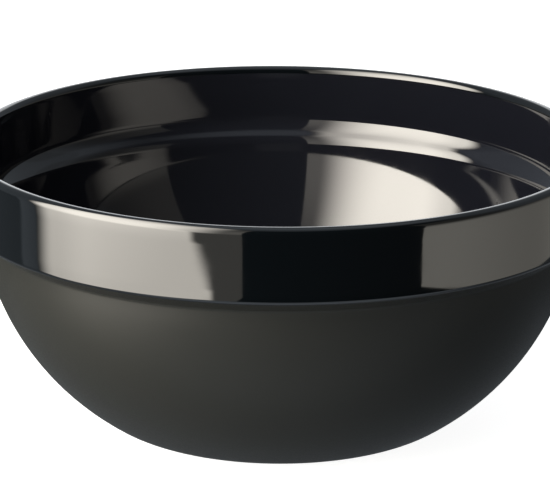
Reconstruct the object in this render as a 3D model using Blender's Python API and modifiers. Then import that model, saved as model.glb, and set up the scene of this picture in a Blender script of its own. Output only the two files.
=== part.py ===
"""Stackable hair colour mixing bowl: a moulded bowl with a non-slip ring under its base.

Metres, +Z up. The origin is the centre of the face the bowl stands on, and +Z is its turning axis.
Both pieces are turned from outlines in the (r, z) half plane, where r is the distance from the axis.
"""

import math

import bpy

# Moulded bowl, overall
RIM_RADIUS = 0.0700
BOWL_HEIGHT = 0.0633
BAND_WALL = 0.0030
FLOOR_THICKNESS = 0.0038

# Outside: the upright band, an S-shaped step in under it, and the body
LIP_OUTER_ROUND = 0.0015
BAND_HEIGHT = 0.0154                  # from the rim down to the start of the step's edge
STEP_TILT = math.radians(55)          # how far the step's face is turned down from upright
STEP_EDGE_ROUND = 0.0010
STEP_HOLLOW_ROUND = 0.0016
BODY_ARC_RADIUS = 0.0585
BODY_ARC_R = 0.0081                   # the body arc's centre, out from the axis
BODY_ARC_DEPTH = 0.0122               # the body arc's centre, below the rim
BASE_FILLET = 0.0153

# Inside: an S-shaped stacking ledge between the upright wall and the dish
LEDGE_DEPTH = 0.0119                  # from the rim down to the start of the ledge's hollow corner
LEDGE_TILT = math.radians(42)         # how far the ledge's face is turned up from upright
LEDGE_CORNER_ROUND = 0.0056
LEDGE_NOSE_ROUND = 0.0041
DISH_ARC_RADIUS = 0.0570
DISH_ARC_R = 0.0079                   # the dish arc's centre, out from the axis
DISH_ARC_DEPTH = 0.0085               # the dish arc's centre, below the rim
FLOOR_FILLET = 0.0130

# Underside, with a groove that holds the non-slip ring
RING_MEAN_RADIUS = 0.0285
RING_WIDTH = 0.0040
RING_HEIGHT = 0.0022
RING_STANDOFF = 0.0007                # how far the ring stands out below the base
RING_EDGE_ROUND = 0.0005
RING_GAP = 0.0003                     # clearance between the ring and its groove
RECESS_RADIUS = 0.0235                # shallow relief in the middle of the base
RECESS_DEPTH = 0.0006

# Fineness of the turned surfaces
SEGMENTS = 80
MERGE_DISTANCE = 0.00001
SHARP_ANGLE = math.radians(35)

# Heights above the standing face
BASE_Z = RING_STANDOFF
RIM_Z = BASE_Z + BOWL_HEIGHT
FLOOR_Z = BASE_Z + FLOOR_THICKNESS

# Centres of the arc outside the body and of the arc inside the dish, as (r, z)
BODY_CENTRE = (BODY_ARC_R, RIM_Z - BODY_ARC_DEPTH)
DISH_CENTRE = (DISH_ARC_R, RIM_Z - DISH_ARC_DEPTH)


def arc(centre, radius, start, end, steps):
    """Points along an arc, with angles in radians measured from +r towards +z."""
    points = []
    for i in range(steps + 1):
        angle = start + (end - start) * i / steps
        points.append((centre[0] + radius * math.cos(angle), centre[1] + radius * math.sin(angle)))
    return points


def point_at_height(centre, radius, z):
    """The outer one of the two points at height z on a circle."""
    return (centre[0] + math.sqrt(radius ** 2 - (z - centre[1]) ** 2), z)


def direction(centre, point):
    """Angle from a circle's centre to a point, in radians from +r towards +z."""
    return math.atan2(point[1] - centre[1], point[0] - centre[0])


def lower_bend(upper, upper_round, lower_round, tilt, centre, radius):
    """Centre of the lower round of an S-shaped bend, given the centre of its upper round.

    The upper round turns an upright wall into a straight slope, and the lower round turns the slope
    into the arc of the given centre and radius. Tilt is the angle of the slope's face from upright.
    """
    across = upper_round + lower_round
    start_r = upper[0] + across * math.cos(tilt) - centre[0]
    start_z = upper[1] - across * math.sin(tilt) - centre[1]
    # The lower round is tangent to the arc from outside, so its centre is this far from the arc's.
    reach = radius + lower_round
    along_r = -math.sin(tilt)
    along_z = -math.cos(tilt)
    half_b = along_r * start_r + along_z * start_z
    slope_length = -half_b - math.sqrt(half_b ** 2 - start_r ** 2 - start_z ** 2 + reach ** 2)
    return (centre[0] + start_r + slope_length * along_r, centre[1] + start_z + slope_length * along_z)


def ledge_centres():
    """Centres of the inside ledge's hollow corner and of its nose."""
    corner = (RIM_RADIUS - BAND_WALL - LEDGE_CORNER_ROUND, RIM_Z - LEDGE_DEPTH)
    nose = lower_bend(
        corner, LEDGE_CORNER_ROUND, LEDGE_NOSE_ROUND, LEDGE_TILT, DISH_CENTRE, DISH_ARC_RADIUS
    )
    return corner, nose


def step_centres():
    """Centres of the outside step's rounded edge and of its hollow."""
    edge = (RIM_RADIUS - STEP_EDGE_ROUND, RIM_Z - BAND_HEIGHT)
    hollow = lower_bend(
        edge, STEP_EDGE_ROUND, STEP_HOLLOW_ROUND, STEP_TILT, BODY_CENTRE, BODY_ARC_RADIUS
    )
    return edge, hollow


def inside_outline():
    """From the middle of the floor up the dish, over the ledge and up the upright wall."""
    corner, nose = ledge_centres()
    nose_angle = direction(DISH_CENTRE, nose)
    fillet = point_at_height(DISH_CENTRE, DISH_ARC_RADIUS - FLOOR_FILLET, FLOOR_Z + FLOOR_FILLET)
    fillet_angle = direction(DISH_CENTRE, fillet)
    points = [(0.0, FLOOR_Z)]
    points += arc(fillet, FLOOR_FILLET, -math.pi / 2, fillet_angle, 5)
    points += arc(DISH_CENTRE, DISH_ARC_RADIUS, fillet_angle, nose_angle, 8)[1:]
    points += arc(nose, LEDGE_NOSE_ROUND, math.pi + nose_angle, math.pi - LEDGE_TILT, 4)[1:]
    points += arc(corner, LEDGE_CORNER_ROUND, -LEDGE_TILT, 0.0, 4)
    return points


def lip_and_band_outline():
    """Over the rounded lip, down the upright band and in along the step to the body."""
    inner_round = BAND_WALL - LIP_OUTER_ROUND
    lip_r = RIM_RADIUS - LIP_OUTER_ROUND
    edge, hollow = step_centres()
    body_side = math.pi + direction(BODY_CENTRE, hollow)
    points = arc((lip_r, RIM_Z - inner_round), inner_round, math.pi, math.pi / 2, 3)
    points += arc((lip_r, RIM_Z - LIP_OUTER_ROUND), LIP_OUTER_ROUND, math.pi / 2, 0.0, 3)[1:]
    points += arc(edge, STEP_EDGE_ROUND, 0.0, -STEP_TILT, 2)
    points += arc(hollow, STEP_HOLLOW_ROUND, math.pi - STEP_TILT, body_side, 3)
    return points


def body_and_base_outline():
    """Down the outside of the body, round to the base and across it to the axis."""
    hollow = step_centres()[1]
    top_angle = direction(BODY_CENTRE, hollow)
    fillet = point_at_height(BODY_CENTRE, BODY_ARC_RADIUS - BASE_FILLET, BASE_Z + BASE_FILLET)
    fillet_angle = direction(BODY_CENTRE, fillet)
    groove_outer = RING_MEAN_RADIUS + RING_WIDTH / 2 + RING_GAP
    groove_inner = RING_MEAN_RADIUS - RING_WIDTH / 2 - RING_GAP
    groove_z = RING_HEIGHT + RING_GAP
    recess_z = BASE_Z + RECESS_DEPTH
    points = arc(BODY_CENTRE, BODY_ARC_RADIUS, top_angle, fillet_angle, 8)[1:]
    points += arc(fillet, BASE_FILLET, fillet_angle, -math.pi / 2, 6)[1:]
    points += [(groove_outer, BASE_Z), (groove_outer, groove_z)]
    points += [(groove_inner, groove_z), (groove_inner, BASE_Z)]
    points += [(RECESS_RADIUS, BASE_Z), (RECESS_RADIUS - RECESS_DEPTH, recess_z)]
    points += [(0.0, recess_z)]
    return points


def ring_outline():
    """Cross-section of the non-slip ring, rounded along the two edges that it stands on."""
    outer = RING_MEAN_RADIUS + RING_WIDTH / 2
    inner = RING_MEAN_RADIUS - RING_WIDTH / 2
    outer_round = (outer - RING_EDGE_ROUND, RING_EDGE_ROUND)
    inner_round = (inner + RING_EDGE_ROUND, RING_EDGE_ROUND)
    points = [(outer, RING_HEIGHT)]
    points += arc(outer_round, RING_EDGE_ROUND, 0.0, -math.pi / 2, 2)
    points += arc(inner_round, RING_EDGE_ROUND, -math.pi / 2, -math.pi, 2)
    points += [(inner, RING_HEIGHT)]
    return points


def material(name, colour, roughness):
    """A plastic or rubber with one colour and one roughness."""
    made = bpy.data.materials.new(name)
    made.use_nodes = True
    shader = made.node_tree.nodes["Principled BSDF"]
    shader.inputs["Base Color"].default_value = (*colour, 1.0)
    shader.inputs["Roughness"].default_value = roughness
    shader.inputs["Metallic"].default_value = 0.0
    return made


def turned(name, outline, closed, finish, collection):
    """Turns an outline about +Z into a solid. A closed outline makes a ring."""
    edges = [(i, i + 1) for i in range(len(outline) - 1)]
    if closed:
        edges.append((len(outline) - 1, 0))
    profile = bpy.data.meshes.new(name)
    profile.from_pydata([(r, 0.0, z) for r, z in outline], edges, [])
    piece = bpy.data.objects.new(name, profile)
    collection.objects.link(piece)
    screw = piece.modifiers.new("Turn", "SCREW")
    screw.axis = "Z"
    screw.steps = SEGMENTS
    screw.render_steps = SEGMENTS
    screw.use_merge_vertices = True
    screw.merge_threshold = MERGE_DISTANCE
    bpy.context.view_layer.update()
    evaluated = piece.evaluated_get(bpy.context.evaluated_depsgraph_get())
    solid = bpy.data.meshes.new_from_object(evaluated)
    piece.modifiers.clear()
    piece.data = solid
    bpy.data.meshes.remove(profile)
    solid.name = name
    solid.shade_smooth()
    solid.set_sharp_from_angle(angle=SHARP_ANGLE)
    solid.materials.append(finish)
    return piece


def main():
    for old in list(bpy.data.objects):
        bpy.data.objects.remove(old)
    collection = bpy.data.collections.new("hair_colour_bowl")
    bpy.context.scene.collection.children.link(collection)
    black_plastic = material("black_plastic", (0.012, 0.013, 0.013), 0.25)
    black_rubber = material("black_rubber", (0.020, 0.020, 0.021), 0.80)
    bowl = inside_outline() + lip_and_band_outline() + body_and_base_outline()
    turned("bowl_shell", bowl, False, black_plastic, collection)
    turned("nonslip_foot_ring", ring_outline(), True, black_rubber, collection)


main()
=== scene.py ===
"""Looks of the hair colour bowl: a polished rim and inside, a satin body and a rubber foot ring.

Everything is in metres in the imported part's frame: +Z is the bowl's turning axis and z = 0 is the
face that it stands on. Outlines are in the (r, z) half plane, where r is the distance from the axis.
"""

import math

import bmesh
import bpy
from mathutils import Matrix, Vector


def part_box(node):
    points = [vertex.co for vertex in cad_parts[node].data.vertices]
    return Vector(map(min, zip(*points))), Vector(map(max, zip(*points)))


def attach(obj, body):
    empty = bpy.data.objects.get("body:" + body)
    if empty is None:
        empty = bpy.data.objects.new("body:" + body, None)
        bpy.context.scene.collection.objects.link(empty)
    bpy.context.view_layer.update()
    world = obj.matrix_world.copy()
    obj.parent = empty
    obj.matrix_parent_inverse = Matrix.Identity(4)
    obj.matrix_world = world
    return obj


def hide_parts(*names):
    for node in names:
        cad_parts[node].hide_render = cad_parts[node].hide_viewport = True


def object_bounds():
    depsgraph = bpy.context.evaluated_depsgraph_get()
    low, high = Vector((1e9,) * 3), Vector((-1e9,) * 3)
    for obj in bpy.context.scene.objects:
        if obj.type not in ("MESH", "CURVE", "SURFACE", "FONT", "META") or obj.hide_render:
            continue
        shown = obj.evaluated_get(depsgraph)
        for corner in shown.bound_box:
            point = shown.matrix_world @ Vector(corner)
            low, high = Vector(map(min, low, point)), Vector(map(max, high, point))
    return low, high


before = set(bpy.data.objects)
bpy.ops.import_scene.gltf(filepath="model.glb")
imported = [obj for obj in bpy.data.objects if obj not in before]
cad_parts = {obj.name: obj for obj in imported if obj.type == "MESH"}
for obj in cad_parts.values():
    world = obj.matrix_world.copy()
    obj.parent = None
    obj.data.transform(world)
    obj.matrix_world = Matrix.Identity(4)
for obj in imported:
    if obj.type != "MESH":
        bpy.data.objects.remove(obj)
cad_low, cad_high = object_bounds()
shell_low, shell_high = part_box("bowl_shell")
ring_low, ring_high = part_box("nonslip_foot_ring")

# Bowl, from the frame
RIM_RADIUS = shell_high.x
RIM_Z = shell_high.z
BASE_Z = shell_low.z

# Bowl, as the part is designed
BAND_WALL = 0.0030
FLOOR_THICKNESS = 0.0038
LIP_OUTER_ROUND = 0.0015
BAND_HEIGHT = 0.0154
STEP_TILT = math.radians(55)
STEP_EDGE_ROUND = 0.0010
STEP_HOLLOW_ROUND = 0.0016
BODY_ARC_RADIUS = 0.0585
BODY_ARC_R = 0.0081
BODY_ARC_DEPTH = 0.0122
BASE_FILLET = 0.0153
LEDGE_DEPTH = 0.0119
LEDGE_TILT = math.radians(42)
LEDGE_CORNER_ROUND = 0.0056
LEDGE_NOSE_ROUND = 0.0041
DISH_ARC_RADIUS = 0.0570
DISH_ARC_R = 0.0079
DISH_ARC_DEPTH = 0.0085
FLOOR_FILLET = 0.0130
RECESS_RADIUS = 0.0235
RECESS_DEPTH = 0.0006
RECESS_EDGE_ROUND = 0.0004
GROOVE_GAP = 0.0003
GROOVE_EDGE_ROUND = 0.0002
STEP_Z = RIM_Z - BAND_HEIGHT
FLOOR_Z = BASE_Z + FLOOR_THICKNESS
BODY_CENTRE = (BODY_ARC_R, RIM_Z - BODY_ARC_DEPTH)
DISH_CENTRE = (DISH_ARC_R, RIM_Z - DISH_ARC_DEPTH)

# Non-slip ring
RING_OUTER = ring_high.x
RING_WIDTH = 0.0040
RING_INNER = RING_OUTER - RING_WIDTH
RING_EDGE_ROUND = 0.0005
RING_TREAD_DEPTH = 0.00012
RING_TREADS = 3

# Fineness: pieces round the axis, and pieces along each part of an outline
SEGMENTS = 256
RING_SEGMENTS = 192
FLAT_STEPS = 6
WALL_ARC_STEPS = 32
FLOOR_FILLET_STEPS = 16
BASE_FILLET_STEPS = 18
LEDGE_CORNER_STEPS = 14
LEDGE_NOSE_STEPS = 10
LIP_STEPS = 10
STEP_ROUND_STEPS = 8
GROOVE_EDGE_STEPS = 3
RECESS_STEPS = 4
RING_EDGE_STEPS = 4
TREAD_STEPS = 12

# Radius below which a point of an outline counts as being on the axis
ON_AXIS = 1e-7

# Plastic and rubber: refractive index, and the satin finish's specular level, where 0.5 is full
PLASTIC_INDEX = 1.57
RUBBER_INDEX = 1.5
SATIN_SPECULAR = 0.11

# Each surface is mottled between two colours
# The inside's colours are paler and bluer than the lip's: painted light, a veil of light painted into the
# inside's colour.
VEIL_PAINTED_COLOURS = ((0.0032, 0.0035, 0.0052), (0.0041, 0.0045, 0.0065))
CLEAR_COLOURS = ((0.0004, 0.0008, 0.0011), (0.0009, 0.0013, 0.0017))
SATIN_COLOURS = ((0.0086, 0.0090, 0.0081), (0.0106, 0.0110, 0.0099))
RUBBER_COLOURS = ((0.017, 0.017, 0.018), (0.028, 0.028, 0.029))
FLOOR_COLOURS = ((0.30, 0.30, 0.30), (0.34, 0.34, 0.34))

# Camera
CAMERA_DISTANCE = 0.700
CAMERA_ELEVATION = math.radians(14.94)
CAMERA_AIM = Vector((-0.0008, -0.0061, 0.0410))
CAMERA_ROLL = math.radians(0.345)
CAMERA_LENS = 207.18
SENSOR_WIDTH = 36.0
NEAR_CLIP = 0.01

# Floor
FLOOR_HALF = 6.0
FLOOR_CELLS = 8
FLOOR_GLOW = 0.93

# Brightness of the cards, and the brightness below which a card begins to show what is behind it
SOFTBOX_GLOW = 16.0
SOFTBOX_FOOT_GLOW = 7.8
GREY_CARD_FRONT_GLOW = 1.85
GREY_CARD_BACK_GLOW = 0.84
BACKDROP_GLOW = 2.0
CARD_EDGE_GLOW = 0.4

# Right edge of the softbox: its place at the height of the rim step, and how far it leans out per
# metre going up
SOFTBOX_RIGHT = 0.075
SOFTBOX_LEAN = 0.27

# Brightness of the room and of the lit table, as the bowl reflects them
WALL_FRONT_GLOW = 0.03
WALL_BACK_GLOW = 0.34
CEILING_GLOW = 0.40
TABLE_LEFT_GLOW = 0.85
TABLE_RIGHT_GLOW = 0.75

# Colours of the light
WHITE = (1.0, 1.0, 1.0, 1.0)
ROOM_TINT = (0.86, 0.95, 1.05, 1.0)


def arc(centre, radius, start, end, steps):
    """Points along an arc, with angles in radians measured from +r towards +z."""
    points = []
    for i in range(steps + 1):
        angle = start + (end - start) * i / steps
        points.append((centre[0] + radius * math.cos(angle), centre[1] + radius * math.sin(angle)))
    return points


def line(start, end, steps):
    """Evenly spaced points from start to end."""
    return [
        (start[0] + (end[0] - start[0]) * i / steps, start[1] + (end[1] - start[1]) * i / steps)
        for i in range(steps + 1)
    ]


def point_at_height(centre, radius, z):
    """The outer one of the two points at height z on a circle."""
    return (centre[0] + math.sqrt(radius ** 2 - (z - centre[1]) ** 2), z)


def direction(centre, point):
    """Angle from a circle's centre to a point, in radians from +r towards +z."""
    return math.atan2(point[1] - centre[1], point[0] - centre[0])


def lower_bend(upper, upper_round, lower_round, tilt, centre, radius):
    """Centre of the lower round of an S-shaped bend, given the centre of its upper round.

    The upper round turns an upright wall into a straight slope, and the lower round turns the slope
    into the arc of the given centre and radius. Tilt is the angle of the slope's face from upright.
    """
    across = upper_round + lower_round
    start_r = upper[0] + across * math.cos(tilt) - centre[0]
    start_z = upper[1] - across * math.sin(tilt) - centre[1]
    # The lower round is tangent to the arc from outside, so its centre is this far from the arc's.
    reach = radius + lower_round
    along_r = -math.sin(tilt)
    along_z = -math.cos(tilt)
    half_b = along_r * start_r + along_z * start_z
    slope_length = -half_b - math.sqrt(half_b ** 2 - start_r ** 2 - start_z ** 2 + reach ** 2)
    return (centre[0] + start_r + slope_length * along_r, centre[1] + start_z + slope_length * along_z)


def ledge_centres():
    """Centres of the inside ledge's hollow corner and of its nose."""
    corner = (RIM_RADIUS - BAND_WALL - LEDGE_CORNER_ROUND, RIM_Z - LEDGE_DEPTH)
    nose = lower_bend(
        corner, LEDGE_CORNER_ROUND, LEDGE_NOSE_ROUND, LEDGE_TILT, DISH_CENTRE, DISH_ARC_RADIUS
    )
    return corner, nose


def step_centres():
    """Centres of the outside step's rounded edge and of its hollow."""
    edge = (RIM_RADIUS - STEP_EDGE_ROUND, STEP_Z)
    hollow = lower_bend(
        edge, STEP_EDGE_ROUND, STEP_HOLLOW_ROUND, STEP_TILT, BODY_CENTRE, BODY_ARC_RADIUS
    )
    return edge, hollow


def inside_outline():
    """From the middle of the floor up the dish, over the ledge and up the upright wall."""
    corner, nose = ledge_centres()
    nose_angle = direction(DISH_CENTRE, nose)
    fillet = point_at_height(DISH_CENTRE, DISH_ARC_RADIUS - FLOOR_FILLET, FLOOR_Z + FLOOR_FILLET)
    fillet_angle = direction(DISH_CENTRE, fillet)
    wall_r = RIM_RADIUS - BAND_WALL
    wall_top = (wall_r, RIM_Z - BAND_WALL + LIP_OUTER_ROUND)
    points = line((0.0, FLOOR_Z), (fillet[0], FLOOR_Z), FLAT_STEPS)
    points += arc(fillet, FLOOR_FILLET, -math.pi / 2, fillet_angle, FLOOR_FILLET_STEPS)[1:]
    points += arc(DISH_CENTRE, DISH_ARC_RADIUS, fillet_angle, nose_angle, WALL_ARC_STEPS)[1:]
    points += arc(
        nose, LEDGE_NOSE_ROUND, math.pi + nose_angle, math.pi - LEDGE_TILT, LEDGE_NOSE_STEPS
    )[1:]
    points += arc(corner, LEDGE_CORNER_ROUND, -LEDGE_TILT, 0.0, LEDGE_CORNER_STEPS)
    points += line((wall_r, corner[1]), wall_top, FLAT_STEPS)[1:-1]
    return points


def lip_and_band_outline():
    """Over the rounded lip, down the upright band and round the edge of the step."""
    inner_round = BAND_WALL - LIP_OUTER_ROUND
    inner_centre = (RIM_RADIUS - LIP_OUTER_ROUND, RIM_Z - inner_round)
    outer_centre = (RIM_RADIUS - LIP_OUTER_ROUND, RIM_Z - LIP_OUTER_ROUND)
    edge = step_centres()[0]
    points = arc(inner_centre, inner_round, math.pi, math.pi / 2, LIP_STEPS)
    points += arc(outer_centre, LIP_OUTER_ROUND, math.pi / 2, 0.0, LIP_STEPS)[1:]
    points += line((RIM_RADIUS, outer_centre[1]), (RIM_RADIUS, edge[1]), FLAT_STEPS)[1:-1]
    points += arc(edge, STEP_EDGE_ROUND, 0.0, -STEP_TILT, STEP_ROUND_STEPS)
    return points


def body_and_base_outline():
    """In along the satin step, down the body and across the base to the axis."""
    hollow = step_centres()[1]
    top_angle = direction(BODY_CENTRE, hollow)
    fillet = point_at_height(BODY_CENTRE, BODY_ARC_RADIUS - BASE_FILLET, BASE_Z + BASE_FILLET)
    fillet_angle = direction(BODY_CENTRE, fillet)
    groove_outer = RING_OUTER + GROOVE_GAP
    groove_inner = RING_INNER - GROOVE_GAP
    groove_z = ring_high.z + GROOVE_GAP
    edge = GROOVE_EDGE_ROUND
    outer_edge = (groove_outer + edge, BASE_Z + edge)
    inner_edge = (groove_inner - edge, BASE_Z + edge)
    recess_edge = (RECESS_RADIUS, BASE_Z + RECESS_EDGE_ROUND)
    recess_r = RECESS_RADIUS - RECESS_EDGE_ROUND
    recess_z = BASE_Z + RECESS_DEPTH
    points = arc(hollow, STEP_HOLLOW_ROUND, math.pi - STEP_TILT, math.pi + top_angle, STEP_ROUND_STEPS)
    points += arc(BODY_CENTRE, BODY_ARC_RADIUS, top_angle, fillet_angle, WALL_ARC_STEPS)[1:]
    points += arc(fillet, BASE_FILLET, fillet_angle, -math.pi / 2, BASE_FILLET_STEPS)[1:]
    points += arc(outer_edge, edge, -math.pi / 2, -math.pi, GROOVE_EDGE_STEPS)
    points += [(groove_outer, groove_z), (groove_inner, groove_z)]
    points += arc(inner_edge, edge, 0.0, -math.pi / 2, GROOVE_EDGE_STEPS)
    points += arc(recess_edge, RECESS_EDGE_ROUND, -math.pi / 2, -math.pi, RECESS_STEPS)
    points += line((recess_r, recess_z), (0.0, recess_z), RECESS_STEPS)[1:]
    return points


def ring_outline():
    """Cross-section of the non-slip ring: fine treads run round the face that it stands on."""
    mean = (RING_OUTER + RING_INNER) / 2
    flat = RING_WIDTH / 2 - RING_EDGE_ROUND
    outer_round = (RING_OUTER - RING_EDGE_ROUND, ring_low.z + RING_EDGE_ROUND)
    inner_round = (RING_INNER + RING_EDGE_ROUND, ring_low.z + RING_EDGE_ROUND)
    points = [(RING_OUTER, ring_high.z)]
    points += arc(outer_round, RING_EDGE_ROUND, 0.0, -math.pi / 2, RING_EDGE_STEPS)
    steps = RING_TREADS * TREAD_STEPS
    for i in range(1, steps):
        across = i / steps
        wave = 0.5 - 0.5 * math.cos(2 * math.pi * RING_TREADS * across)
        points.append((mean + flat * (1 - 2 * across), ring_low.z + RING_TREAD_DEPTH * wave))
    points += arc(inner_round, RING_EDGE_ROUND, -math.pi / 2, -math.pi, RING_EDGE_STEPS)
    points.append((RING_INNER, ring_high.z))
    return points


def turned(name, outline, closed, segments, materials, material_at):
    """Turns an outline about +Z into one smooth closed mesh. Points on the axis become one vertex.

    closed joins the outline's last point to its first. material_at(strip) picks the material of the
    strip of faces that starts at a point of the outline.
    """
    mesh = bpy.data.meshes.new(name)
    build = bmesh.new()
    turn = 2 * math.pi / segments
    rings = []
    for r, z in outline:
        if r < ON_AXIS:
            rings.append([build.verts.new((0.0, 0.0, z))])
            continue
        rings.append([
            build.verts.new((r * math.cos(turn * i), r * math.sin(turn * i), z))
            for i in range(segments)
        ])
    pairs = list(zip(range(len(rings)), range(1, len(rings))))
    if closed:
        pairs.append((len(rings) - 1, 0))
    for first, second in pairs:
        start, end = rings[first], rings[second]
        for i in range(segments):
            j = (i + 1) % segments
            corners = [
                start[i % len(start)], end[i % len(end)], end[j % len(end)], start[j % len(start)]
            ]
            # On the axis two corners are the same vertex, and the face is a triangle.
            face = build.faces.new(list(dict.fromkeys(corners)))
            face.smooth = True
            face.material_index = material_at(first)
    build.normal_update()
    build.to_mesh(mesh)
    build.free()
    for material in materials:
        mesh.materials.append(material)
    piece = bpy.data.objects.new(name, mesh)
    bpy.context.scene.collection.objects.link(piece)
    return piece


class Nodes:
    """Adds shader nodes to one node tree with short calls."""

    def __init__(self, owner):
        owner.use_nodes = True
        self.tree = owner.node_tree
        self.tree.nodes.clear()

    def add(self, kind, settings=None, **inputs):
        """A node of one kind. Inputs are given by name, as a value or as a socket to link from."""
        node = self.tree.nodes.new(kind)
        for name, value in (settings or {}).items():
            setattr(node, name, value)
        for name, value in inputs.items():
            socket = node.inputs[name.replace("_", " ")]
            if isinstance(value, bpy.types.NodeSocket):
                self.tree.links.new(value, socket)
            else:
                socket.default_value = value
        return node

    def math(self, operation, first, second):
        """One sum on two numbers or sockets."""
        node = self.tree.nodes.new("ShaderNodeMath")
        node.operation = operation
        for socket, value in zip(node.inputs, (first, second)):
            if isinstance(value, bpy.types.NodeSocket):
                self.tree.links.new(value, socket)
            else:
                socket.default_value = value
        return node.outputs[0]

    def ramp(self, value, low, high, to_low=0.0, to_high=1.0):
        """Takes value smoothly from low..high to to_low..to_high and holds it at the ends."""
        node = self.add("ShaderNodeMapRange", {"interpolation_type": "SMOOTHSTEP"})
        for socket, number in zip(node.inputs[:5], (value, low, high, to_low, to_high)):
            if isinstance(number, bpy.types.NodeSocket):
                self.tree.links.new(number, socket)
            else:
                socket.default_value = number
        return node.outputs[0]

    def noise(self, coordinates, scale, detail):
        """Noise of about one blob per 1/scale metres, from 0 to 1."""
        node = self.add("ShaderNodeTexNoise", Vector=coordinates, Scale=scale, Detail=detail)
        return node.outputs[0]

    def colour(self, factor, first, second):
        """A blend of two colours by factor."""
        node = self.add("ShaderNodeMix", {"data_type": "RGBA"})
        # The Mix node has a set of sockets for each data type. Its colours are inputs 6 and 7 and
        # their blend is output 2.
        self.tree.links.new(factor, node.inputs[0])
        node.inputs[6].default_value = (*first, 1.0)
        node.inputs[7].default_value = (*second, 1.0)
        return node.outputs[2]

    def mix_shaders(self, factor, first, second):
        """A blend of two shaders by factor."""
        node = self.tree.nodes.new("ShaderNodeMixShader")
        for socket, value in zip(node.inputs, (factor, first, second)):
            self.tree.links.new(value, socket)
        return node.outputs[0]

    def bump(self, height, strength, distance, normal=None):
        """A bump in which a height of 1 stands distance metres tall, on top of normal if given."""
        node = self.add("ShaderNodeBump", Height=height, Strength=strength, Distance=distance)
        if normal is not None:
            self.tree.links.new(normal, node.inputs["Normal"])
        return node.outputs[0]


def polished_plastic(name, dark, light):
    """Glossy and near-black, mottled between two colours, with faint polishing haze and waviness."""
    material = bpy.data.materials.new(name)
    nodes = Nodes(material)
    place = nodes.add("ShaderNodeTexCoord").outputs["Object"]
    cloud = nodes.noise(place, 35.0, 3.0)
    haze = nodes.noise(place, 260.0, 4.0)
    colour = nodes.colour(cloud, dark, light)
    fine_haze = nodes.ramp(haze, 0.35, 0.75, 0.030, 0.055)
    broad_haze = nodes.ramp(cloud, 0.3, 0.7, 0.0, 0.015)
    roughness = nodes.math("ADD", fine_haze, broad_haze)
    waviness = nodes.bump(nodes.noise(place, 55.0, 1.0), 0.25, 0.00002)
    surface = nodes.bump(nodes.noise(place, 1400.0, 2.0), 0.10, 0.000004, waviness)
    shader = nodes.add(
        "ShaderNodeBsdfPrincipled", Base_Color=colour, Roughness=roughness, IOR=PLASTIC_INDEX,
        Normal=surface,
    )
    nodes.add("ShaderNodeOutputMaterial", Surface=shader.outputs[0])
    return material


def satin_plastic():
    """The step and the body under it: a finely grained satin face that scatters the light."""
    material = bpy.data.materials.new("satin_black_plastic")
    nodes = Nodes(material)
    place = nodes.add("ShaderNodeTexCoord").outputs["Object"]
    cloud = nodes.noise(place, 28.0, 3.0)
    grain = nodes.noise(place, 2600.0, 2.0)
    colour = nodes.colour(cloud, *SATIN_COLOURS)
    fine_grain = nodes.ramp(grain, 0.3, 0.7, 0.32, 0.40)
    broad_change = nodes.ramp(cloud, 0.3, 0.7, -0.02, 0.03)
    roughness = nodes.math("ADD", fine_grain, broad_change)
    surface = nodes.bump(grain, 0.25, 0.00001)
    shader = nodes.add(
        "ShaderNodeBsdfPrincipled", Base_Color=colour, Roughness=roughness, IOR=PLASTIC_INDEX,
        Specular_IOR_Level=SATIN_SPECULAR, Normal=surface,
    )
    nodes.add("ShaderNodeOutputMaterial", Surface=shader.outputs[0])
    return material


def matte_rubber():
    """The non-slip ring: matte, speckled black rubber."""
    material = bpy.data.materials.new("matte_black_rubber")
    nodes = Nodes(material)
    place = nodes.add("ShaderNodeTexCoord").outputs["Object"]
    cloud = nodes.noise(place, 120.0, 3.0)
    grain = nodes.noise(place, 3000.0, 3.0)
    colour = nodes.colour(cloud, *RUBBER_COLOURS)
    roughness = nodes.ramp(grain, 0.3, 0.7, 0.70, 0.90)
    surface = nodes.bump(grain, 0.5, 0.00003)
    shader = nodes.add(
        "ShaderNodeBsdfPrincipled", Base_Color=colour, Roughness=roughness, IOR=RUBBER_INDEX,
        Normal=surface,
    )
    nodes.add("ShaderNodeOutputMaterial", Surface=shader.outputs[0])
    return material


def add_bowl():
    """One moulding in three materials: polished inside with a painted veil of light in its paler colour,
    polished lip and band, satin below them.
    """
    inside = inside_outline()
    polished = inside + lip_and_band_outline()
    outline = polished + body_and_base_outline()
    # The inside is the lip's polished plastic painted paler: painted light standing in for a veil of
    # light.
    veil_painted = polished_plastic("veil_painted_polished_plastic", *VEIL_PAINTED_COLOURS)
    clear = polished_plastic("clear_polished_plastic", *CLEAR_COLOURS)
    satin = satin_plastic()

    def finish_or_painted_veil(strip):
        """Place of a strip's material in the list of the three."""
        if strip < len(inside):
            return 0
        return 1 if strip < len(polished) - 1 else 2

    return turned("bowl_moulding", outline, False, SEGMENTS, [veil_painted, clear, satin], finish_or_painted_veil)


def add_ring():
    """The non-slip ring in the groove of the base."""
    return turned("foot_ring", ring_outline(), True, RING_SEGMENTS, [matte_rubber()], lambda strip: 0)


def from_bowl(azimuth, distance):
    """A place level with the rim step. Azimuth turns from straight behind (+Y) towards +X, in degrees."""
    turn = math.radians(azimuth)
    return Vector((distance * math.sin(turn), distance * math.cos(turn), STEP_Z))


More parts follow.
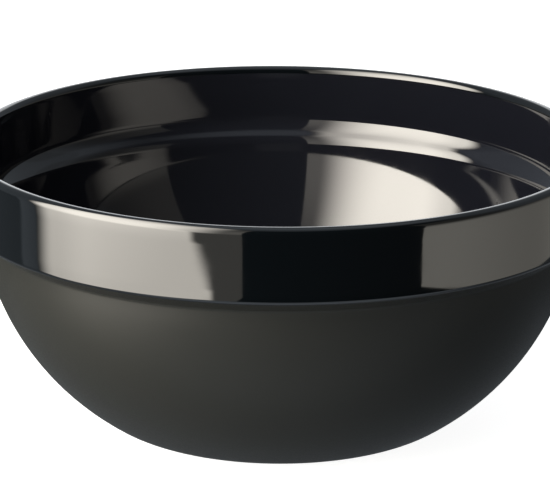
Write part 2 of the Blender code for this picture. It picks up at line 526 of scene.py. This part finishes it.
def add_card(name, azimuth, distance, across, up, tint, strength_of):
    """An upright glowing card that faces the bowl's axis, level with the rim step.

    across and up are its (low, high) edges in metres from the card's own origin, which is the given
    distance from the axis. across grows with azimuth. strength_of(nodes, u, v) makes the brightness
    from such distances. Where it is dim the card lets the room behind it show.
    """
    mesh = bpy.data.meshes.new(name)
    build = bmesh.new()
    corners = [(across[i], up[j], 0.0) for i, j in ((0, 0), (1, 0), (1, 1), (0, 1))]
    build.faces.new([build.verts.new(corner) for corner in corners])
    build.to_mesh(mesh)
    build.free()
    card = bpy.data.objects.new(name, mesh)
    bpy.context.scene.collection.objects.link(card)
    card.location = from_bowl(azimuth, distance)
    card.rotation_euler = (math.radians(90), 0.0, math.radians(-azimuth))
    card.visible_camera = False
    card.visible_shadow = False
    material = bpy.data.materials.new(name)
    nodes = Nodes(material)
    place = nodes.add("ShaderNodeTexCoord").outputs["Object"]
    split = nodes.add("ShaderNodeSeparateXYZ", Vector=place)
    strength = strength_of(nodes, split.outputs["X"], split.outputs["Y"])
    glow = nodes.add("ShaderNodeEmission", Color=(*tint, 1.0), Strength=strength)
    clear = nodes.add("ShaderNodeBsdfTransparent")
    cover = nodes.ramp(strength, 0.0, CARD_EDGE_GLOW)
    mix = nodes.mix_shaders(cover, clear.outputs[0], glow.outputs[0])
    nodes.add("ShaderNodeOutputMaterial", Surface=mix)
    mesh.materials.append(material)


def softbox_strength(nodes, u, v):
    """Dimmer at the foot and towards the top.

    The left edge fades slowly, but low down it is crisp and slants. The right edge leans outwards
    going up.
    """
    soft_left = nodes.ramp(u, -0.66, -0.18, 0.08, 1.0)
    slant = nodes.ramp(v, -0.21, -0.135, -0.10, 0.01)
    foot = nodes.ramp(v, -0.30, -0.21, 0.3, 1.0)
    crisp_left = nodes.ramp(nodes.math("SUBTRACT", u, slant), -0.475, -0.425, 0.08, foot)
    upper = nodes.ramp(v, -0.12, 0.06)
    upper_left = nodes.math("MULTIPLY", soft_left, upper)
    lower_left = nodes.math("MULTIPLY", crisp_left, nodes.math("SUBTRACT", 1.0, upper))
    left = nodes.math("ADD", upper_left, lower_left)
    lean = nodes.math("MULTIPLY", nodes.math("MAXIMUM", v, 0.0), SOFTBOX_LEAN)
    past_edge = nodes.math("SUBTRACT", u, nodes.math("ADD", lean, SOFTBOX_RIGHT))
    right_end = nodes.ramp(past_edge, -0.035, 0.035, 1.0, 0.0)
    right_fade = nodes.ramp(past_edge, -0.16, -0.02, 1.0, 0.72)
    right = nodes.math("MULTIPLY", right_end, right_fade)
    low = nodes.ramp(v, -0.15, 0.06, SOFTBOX_FOOT_GLOW, SOFTBOX_GLOW)
    middle = nodes.ramp(v, 0.15, 1.25, 1.0, 0.42)
    top = nodes.ramp(v, 1.3, 1.7, 1.0, 0.2)
    sides = nodes.math("MULTIPLY", left, right)
    upward = nodes.math("MULTIPLY", middle, top)
    return nodes.math("MULTIPLY", nodes.math("MULTIPLY", sides, low), upward)


def grey_card_strength(nodes, u, v):
    """Brightest at its low front corner, where it stops with a sharp edge."""
    along = nodes.ramp(u, -0.35, 0.35, GREY_CARD_BACK_GLOW, GREY_CARD_FRONT_GLOW)
    upward = nodes.ramp(v, -0.18, 0.25, 1.0, 0.15)
    return nodes.math("MULTIPLY", along, upward)


def backdrop_strength(nodes, u, v):
    """A pale wall behind the bowl, with soft sides."""
    left = nodes.ramp(u, -0.45, -0.15)
    right = nodes.ramp(u, 0.15, 0.45, 1.0, 0.0)
    return nodes.math("MULTIPLY", nodes.math("MULTIPLY", left, right), BACKDROP_GLOW)


def add_world():
    """White where the camera looks past the stage. The bowl itself sees a dim room and a lit table."""
    world = bpy.data.worlds.new("studio")
    bpy.context.scene.world = world
    nodes = Nodes(world)
    place = nodes.add("ShaderNodeTexCoord").outputs["Generated"]
    split = nodes.add("ShaderNodeSeparateXYZ", Vector=place)
    x, y, z = split.outputs["X"], split.outputs["Y"], split.outputs["Z"]
    # The walls are dim in front and paler behind, where their low part is dimmer again.
    low_wall = nodes.math("MAXIMUM", nodes.ramp(y, 0.225, 0.26, 1.2, 0.42), nodes.ramp(z, -0.10, 0.05))
    wall_foot = nodes.ramp(z, -0.42, -0.32)
    wall_glow = nodes.ramp(y, -0.3, 0.3, WALL_FRONT_GLOW, WALL_BACK_GLOW)
    walls = nodes.math("MULTIPLY", wall_glow, nodes.math("MULTIPLY", low_wall, wall_foot))
    ceiling = nodes.ramp(z, 0.80, 0.95, 0.0, CEILING_GLOW)
    # The lit table is brighter at the left and in front, and brightest straight below.
    across_table = nodes.ramp(x, -0.35, 0.0, TABLE_LEFT_GLOW, TABLE_RIGHT_GLOW)
    along_table = nodes.ramp(y, -0.45, 0.05, 1.0, 0.28)
    below = nodes.ramp(z, -0.45, -0.38, 1.0, 0.0)
    straight_below = nodes.ramp(z, -0.95, -0.70, 1.4, 1.0)
    table = nodes.math("MULTIPLY", below, nodes.math("MULTIPLY", across_table, along_table))
    lit_table = nodes.math("MULTIPLY", table, straight_below)
    glow = nodes.math("ADD", nodes.math("ADD", walls, ceiling), lit_table)
    room = nodes.add("ShaderNodeBackground", Color=ROOM_TINT, Strength=glow)
    white = nodes.add("ShaderNodeBackground", Color=WHITE, Strength=1.0)
    seen = nodes.add("ShaderNodeLightPath").outputs["Is Camera Ray"]
    mix = nodes.mix_shaders(seen, room.outputs[0], white.outputs[0])
    nodes.add("ShaderNodeOutputWorld", Surface=mix)


def add_floor():
    """A pale table that glows nearly white, so that only a light shadow shows on it.

    The camera sees it and the bowl does not: the lit table in the world stands in for it there.
    """
    mesh = bpy.data.meshes.new("floor")
    build = bmesh.new()
    bmesh.ops.create_grid(build, x_segments=FLOOR_CELLS, y_segments=FLOOR_CELLS, size=FLOOR_HALF)
    build.to_mesh(mesh)
    build.free()
    floor = bpy.data.objects.new("floor", mesh)
    bpy.context.scene.collection.objects.link(floor)
    floor.location = (0.0, 0.0, cad_low.z)
    floor.visible_glossy = False
    floor.visible_diffuse = False
    floor.visible_shadow = False
    material = bpy.data.materials.new("pale_floor")
    nodes = Nodes(material)
    place = nodes.add("ShaderNodeTexCoord").outputs["Object"]
    cloud = nodes.noise(place, 3.0, 2.0)
    colour = nodes.colour(cloud, *FLOOR_COLOURS)
    shader = nodes.add(
        "ShaderNodeBsdfPrincipled", Base_Color=colour, Roughness=0.9,
        Emission_Color=WHITE, Emission_Strength=FLOOR_GLOW,
    )
    nodes.add("ShaderNodeOutputMaterial", Surface=shader.outputs[0])
    mesh.materials.append(material)


def add_camera():
    """Looks down at the bowl from the front, tipped so that the bowl sits low in the view."""
    camera = bpy.data.cameras.new("camera")
    camera.lens = CAMERA_LENS
    camera.sensor_width = SENSOR_WIDTH
    camera.clip_start = NEAR_CLIP
    view = bpy.data.objects.new("camera", camera)
    bpy.context.scene.collection.objects.link(view)
    rim_centre = Vector((0.0, 0.0, RIM_Z))
    flat = CAMERA_DISTANCE * math.cos(CAMERA_ELEVATION)
    view.location = rim_centre + Vector((0.0, -flat, CAMERA_DISTANCE * math.sin(CAMERA_ELEVATION)))
    look = (CAMERA_AIM - view.location).to_track_quat("-Z", "Y").to_matrix().to_4x4()
    view.rotation_euler = (look @ Matrix.Rotation(CAMERA_ROLL, 4, "Z")).to_euler()
    bpy.context.scene.camera = view


def main():
    bowl = add_bowl()
    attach(bowl, "root")
    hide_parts("bowl_shell")
    ring = add_ring()
    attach(ring, "root")
    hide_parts("nonslip_foot_ring")
    add_card(
        "softbox", azimuth=255, distance=0.42, across=(-0.82, 0.70), up=(-0.31, 1.70),
        tint=(1.06, 1.0, 0.90), strength_of=softbox_strength,
    )
    add_card(
        "grey_card", azimuth=100, distance=0.70, across=(-0.63, 0.41), up=(-0.25, 0.60),
        tint=(1.04, 1.0, 0.90), strength_of=grey_card_strength,
    )
    add_card(
        "backdrop", azimuth=0, distance=0.90, across=(-0.45, 0.45), up=(0.0, 0.6),
        tint=(0.97, 1.0, 1.03), strength_of=backdrop_strength,
    )
    add_world()
    add_floor()
    add_camera()
    bpy.context.scene.view_settings.view_transform = "Standard"
    bpy.context.view_layer.update()


main()
